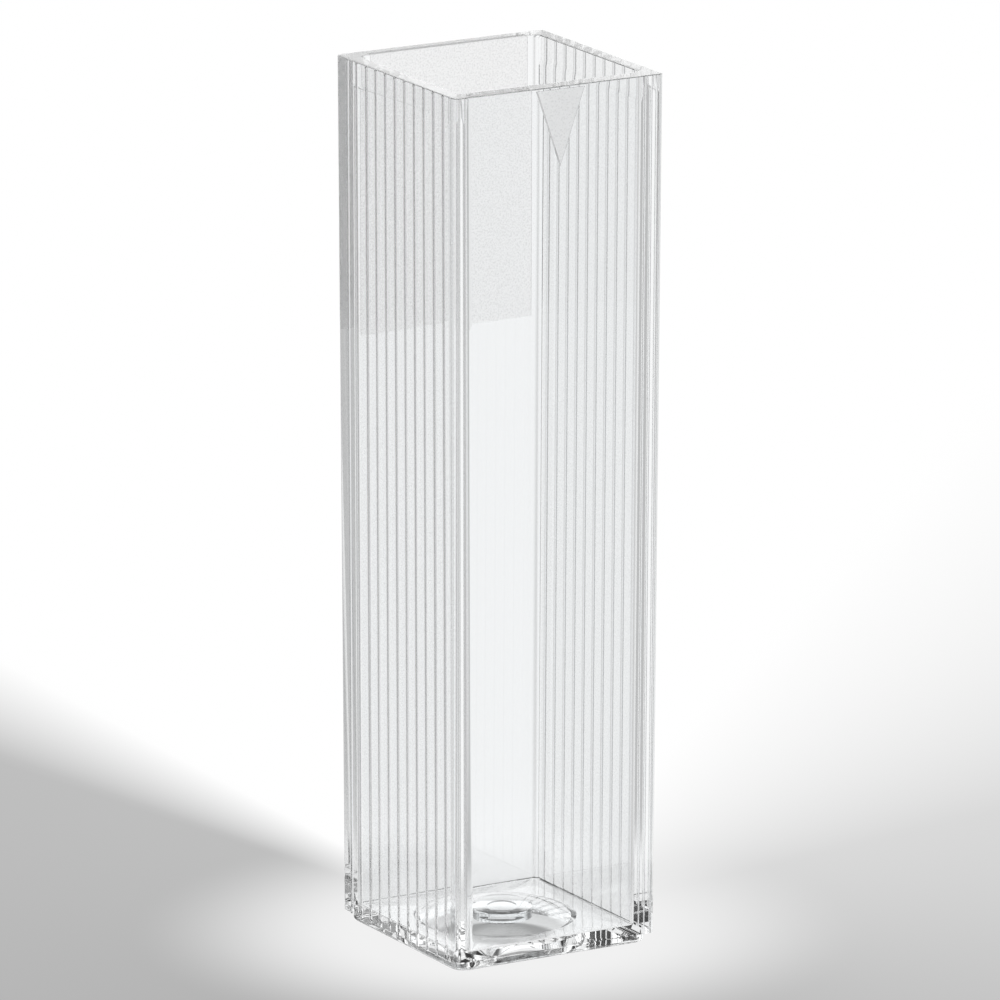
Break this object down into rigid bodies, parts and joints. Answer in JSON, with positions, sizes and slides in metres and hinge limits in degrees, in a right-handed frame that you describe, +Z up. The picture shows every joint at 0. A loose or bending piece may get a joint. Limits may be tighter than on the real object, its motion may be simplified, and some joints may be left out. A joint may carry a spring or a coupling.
{
  "type": "cuvette",
  "caption": "Square open-topped cuvette of clear plastic, with two clear windows, ribbed grip walls, a frosted panel and an arrowhead that marks the light's direction.",
  "frame": {"origin": "centre of the resting face under the foot", "axes": "+Z up through the open mouth; the window with the arrowhead faces -Y, so light travels along Y; the ribbed grip walls face -X and +X"},
  "size_m": [0.0122, 0.0121, 0.045],
  "materials": {
    "clear_plastic": "polished"
  },
  "bodies": {
    "root": {"cuvette_body": "clear_plastic"}
  },
  "joints": []
}
